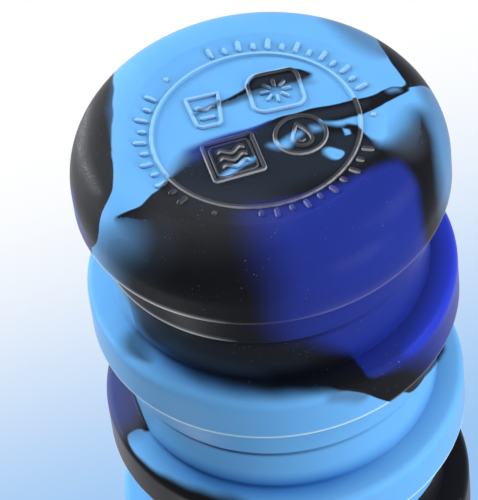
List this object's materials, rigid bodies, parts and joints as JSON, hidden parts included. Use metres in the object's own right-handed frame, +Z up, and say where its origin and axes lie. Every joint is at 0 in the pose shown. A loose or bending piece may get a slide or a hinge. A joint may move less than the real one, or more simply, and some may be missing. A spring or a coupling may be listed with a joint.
{
  "type": "folding water bottle",
  "caption": "Folding water bottle: stepped silicone body that collapses ring by ring, clamped screw neck, lid with a flip-cap spout, and a carabiner.",
  "frame": {"origin": "centre of the foot ring, on the surface that the bottle stands on", "axes": "+Z up along the bottle's axis, +Y towards the hanging lug and flip hinge, -Y the front"},
  "size_m": [0.074, 0.0825, 0.1963],
  "materials": {
    "marbled_silicone": "satin",
    "blue_silicone": "satin",
    "clear_silicone": "satin",
    "dark_plastic": "satin",
    "pale_plastic": "satin",
    "steel": "satin",
    "anodised_aluminium": "satin"
  },
  "bodies": {
    "base": {"base_cup": "marbled_silicone", "fold_skirt_1": "marbled_silicone"},
    "stage_1": {"ring_1": "marbled_silicone", "fold_skirt_2": "marbled_silicone"},
    "stage_2": {"ring_2": "marbled_silicone", "fold_skirt_3": "marbled_silicone"},
    "stage_3": {"ring_3": "marbled_silicone", "fold_skirt_4": "marbled_silicone"},
    "neck": {"shoulder": "marbled_silicone", "clamp_collar": "dark_plastic", "neck_insert": "pale_plastic"},
    "gasket": {"lid_gasket": "clear_silicone"},
    "lid": {"lid": "dark_plastic", "spout": "blue_silicone", "vent_valve": "clear_silicone", "flip_hinge_pin": "steel"},
    "flip_cap": {"flip_cap": "dark_plastic", "spout_seal": "clear_silicone"},
    "carabiner": {"carabiner_body": "anodised_aluminium", "gate_pin": "steel"},
    "gate": {"carabiner_gate": "anodised_aluminium", "gate_spring": "steel"}
  },
  "joints": [
    {"name": "fold_1", "type": "slide", "parent": "base", "child": "stage_1", "axis": [0, 0, 1], "range_m": [-0.0171, 0], "deforming": ["fold_skirt_1"]},
    {"name": "fold_2", "type": "slide", "parent": "stage_1", "child": "stage_2", "axis": [0, 0, 1], "range_m": [-0.0171, 0], "deforming": ["fold_skirt_2"]},
    {"name": "fold_3", "type": "slide", "parent": "stage_2", "child": "stage_3", "axis": [0, 0, 1], "range_m": [-0.0171, 0], "deforming": ["fold_skirt_3"]},
    {"name": "fold_4", "type": "slide", "parent": "stage_3", "child": "neck", "axis": [0, 0, 1], "range_m": [-0.0171, 0], "deforming": ["fold_skirt_4"]},
    {"name": "lid_lift", "type": "slide", "parent": "neck", "child": "gasket", "axis": [0, 0, 1], "range_m": [0, 0.0081]},
    {"name": "lid_turn", "type": "hinge", "parent": "gasket", "child": "lid", "pos_m": [0, 0, 0.1647], "axis": [0, 0, 1], "range_deg": [0, 720]},
    {"name": "flip", "type": "hinge", "parent": "lid", "child": "flip_cap", "pos_m": [0, 0.02, 0.1851], "axis": [-1, 0, 0], "range_deg": [0, 120]},
    {"name": "carabiner_swing", "type": "hinge", "parent": "lid", "child": "carabiner", "pos_m": [0, 0.0405, 0.1721], "axis": [1, 0, 0], "range_deg": [0, 150]},
    {"name": "gate_open", "type": "hinge", "parent": "carabiner", "child": "gate", "pos_m": [0.011, 0.0405, 0.1386], "axis": [0, -1, 0], "range_deg": [0, 24], "stiffness_Nm_per_rad": 0.01, "springref_deg": -5.73}
  ],
  "couplings": [
    {"joint": "lid_lift", "follows": "lid_turn", "m_per_rad": 0.00063662}
  ]
}
